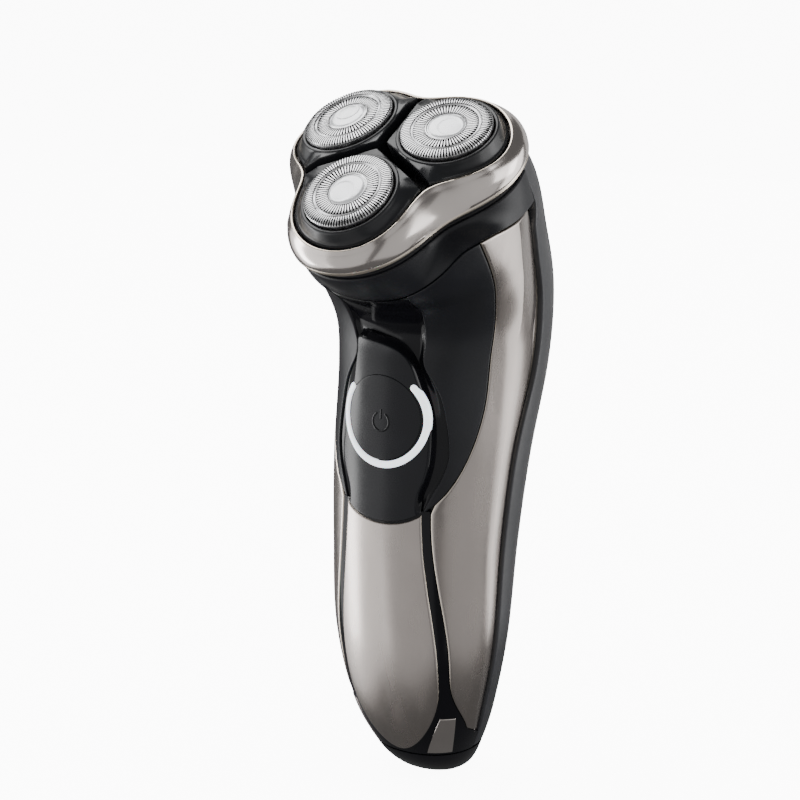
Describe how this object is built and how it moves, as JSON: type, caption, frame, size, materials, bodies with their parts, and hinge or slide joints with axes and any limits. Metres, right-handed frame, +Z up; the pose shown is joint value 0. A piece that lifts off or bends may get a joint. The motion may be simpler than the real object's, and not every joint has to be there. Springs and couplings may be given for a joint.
{
  "type": "rotary electric shaver",
  "caption": "Cordless rotary shaver: curved handle with plated panels and a ringed power button, and a tilted three-lobed head that opens, with floating guard caps over spinning cutters.",
  "frame": {"origin": "on the level of the foot, below the middle of the whole shaver's box", "axes": "+Z up along the handle, -Y towards the power button, +X to the right as one faces the button"},
  "size_m": [0.0572, 0.071, 0.1611],
  "materials": {
    "champagne_metal": "polished, mirror-like, warm champagne tint",
    "matte_black": "fine satin texture, slightly blue black",
    "gloss_black": "high gloss",
    "rear_grip": "soft-touch satin",
    "light_guide": "milky white, smooth",
    "cutter_steel": "ground and polished, fine radial slots",
    "motor_can": "drawn sheet, satin",
    "disc_silver": "pearl silver, glossy",
    "white_nylon": "natural moulded nylon",
    "board_green": "solder mask",
    "cell_wrap": "blue shrink wrap over a metal cell",
    "brass": "turned, bright"
  },
  "bodies": {
    "handle": {"front_housing": "gloss_black", "rear_housing": "rear_grip", "bottom_cap": "gloss_black", "centre_plate": "champagne_metal", "side_plate_right": "champagne_metal", "side_plate_left": "champagne_metal", "top_panel": "matte_black", "control_pad": "matte_black", "light_ring": "light_guide", "circuit_board": "board_green", "tact_switch": "white_nylon", "battery": "cell_wrap", "charge_inlet": "gloss_black", "inlet_pin_left": "brass", "inlet_pin_right": "brass", "collar": "matte_black", "hair_chamber": "matte_black", "gear_plate": "white_nylon", "motor": "motor_can", "hinge_bridge": "matte_black", "hinge_pin": "cutter_steel"},
    "button": {"power_button": "matte_black"},
    "pinion": {"motor_pinion": "brass"},
    "lid": {"trim_ring": "champagne_metal", "head_frame": "matte_black", "retaining_frame": "white_nylon"},
    "knob": {"retaining_knob": "matte_black"},
    "drive_front": {"drive_gear_front": "white_nylon", "drive_spindle_front": "white_nylon", "spindle_spring_front": "cutter_steel"},
    "holder_front": {"cutter_holder_front": "matte_black"},
    "cap_front": {"guard_cap_front": "cutter_steel", "cap_disc_front": "disc_silver"},
    "cutter_front": {"rotary_cutter_front": "cutter_steel"},
    "drive_right": {"drive_gear_right": "white_nylon", "drive_spindle_right": "white_nylon", "spindle_spring_right": "cutter_steel"},
    "holder_right": {"cutter_holder_right": "matte_black"},
    "cap_right": {"guard_cap_right": "cutter_steel", "cap_disc_right": "disc_silver"},
    "cutter_right": {"rotary_cutter_right": "cutter_steel"},
    "drive_left": {"drive_gear_left": "white_nylon", "drive_spindle_left": "white_nylon", "spindle_spring_left": "cutter_steel"},
    "holder_left": {"cutter_holder_left": "matte_black"},
    "cap_left": {"guard_cap_left": "cutter_steel", "cap_disc_left": "disc_silver"},
    "cutter_left": {"rotary_cutter_left": "cutter_steel"}
  },
  "joints": [
    {"name": "button_press", "type": "slide", "parent": "handle", "child": "button", "axis": [0, 1, 0], "range_m": [0, 0.0008], "stiffness_N_per_m": 2500},
    {"name": "head_open", "type": "hinge", "parent": "handle", "child": "lid", "pos_m": [0, 0.01234, 0.15609], "axis": [-1, 0, 0], "range_deg": [0, 75]},
    {"name": "knob_turn", "type": "hinge", "parent": "lid", "child": "knob", "pos_m": [0, -0.00762, 0.1411], "axis": [0, -0.5446, 0.8387], "range_deg": [0, 90]},
    {"name": "drive_front_spin", "type": "hinge", "parent": "handle", "child": "drive_front", "pos_m": [0, -0.01655, 0.12767], "axis": [0, -0.5446, 0.8387], "continuous": true},
    {"name": "holder_front_tilt", "type": "hinge", "parent": "lid", "child": "holder_front", "pos_m": [0, -0.01437, 0.14745], "axis": [1, 0, 0], "range_deg": [0, 1.8], "stiffness_Nm_per_rad": 0.4},
    {"name": "cap_front_float", "type": "slide", "parent": "holder_front", "child": "cap_front", "axis": [0, 0.632, -0.7749], "range_m": [0, 0.0012], "stiffness_N_per_m": 800},
    {"name": "cutter_front_spin", "type": "hinge", "parent": "cap_front", "child": "cutter_front", "pos_m": [0, -0.02711, 0.14394], "axis": [0, -0.632, 0.7749], "continuous": true},
    {"name": "drive_right_spin", "type": "hinge", "parent": "handle", "child": "drive_right", "pos_m": [0.01282, 0.00207, 0.13976], "axis": [0, -0.5446, 0.8387], "continuous": true},
    {"name": "holder_right_tilt", "type": "hinge", "parent": "lid", "child": "holder_right", "pos_m": [0.00191, -0.0116, 0.14924], "axis": [-0.5, 0.7263, 0.4717], "range_deg": [0, 1.8], "stiffness_Nm_per_rad": 0.4},
    {"name": "cap_right_float", "type": "slide", "parent": "holder_right", "child": "cap_right", "axis": [-0.0935, 0.4962, -0.8632], "range_m": [0, 0.0012], "stiffness_N_per_m": 800},
    {"name": "cutter_right_spin", "type": "hinge", "parent": "cap_right", "child": "cutter_right", "pos_m": [0.01282, -0.00849, 0.15603], "axis": [0.0935, -0.4962, 0.8632], "continuous": true},
    {"name": "drive_left_spin", "type": "hinge", "parent": "handle", "child": "drive_left", "pos_m": [-0.01282, 0.00207, 0.13976], "axis": [0, -0.5446, 0.8387], "continuous": true},
    {"name": "holder_left_tilt", "type": "hinge", "parent": "lid", "child": "holder_left", "pos_m": [-0.00191, -0.0116, 0.14924], "axis": [-0.5, -0.7263, -0.4717], "range_deg": [0, 1.8], "stiffness_Nm_per_rad": 0.4},
    {"name": "cap_left_float", "type": "slide", "parent": "holder_left", "child": "cap_left", "axis": [0.0935, 0.4962, -0.8632], "range_m": [0, 0.0012], "stiffness_N_per_m": 800},
    {"name": "cutter_left_spin", "type": "hinge", "parent": "cap_left", "child": "cutter_left", "pos_m": [-0.01282, -0.00849, 0.15603], "axis": [-0.0935, -0.4962, 0.8632], "continuous": true},
    {"name": "pinion_spin", "type": "hinge", "parent": "handle", "child": "pinion", "pos_m": [0, -0.00413, 0.13573], "axis": [0, -0.5446, 0.8387], "continuous": true}
  ],
  "couplings": [
    {"joint": "drive_right_spin", "follows": "drive_front_spin", "ratio": 1},
    {"joint": "drive_left_spin", "follows": "drive_front_spin", "ratio": 1},
    {"joint": "cutter_front_spin", "follows": "drive_front_spin", "ratio": 1},
    {"joint": "cutter_right_spin", "follows": "drive_front_spin", "ratio": 1},
    {"joint": "cutter_left_spin", "follows": "drive_front_spin", "ratio": 1},
    {"joint": "pinion_spin", "follows": "drive_front_spin", "ratio": -1.8462}
  ]
}
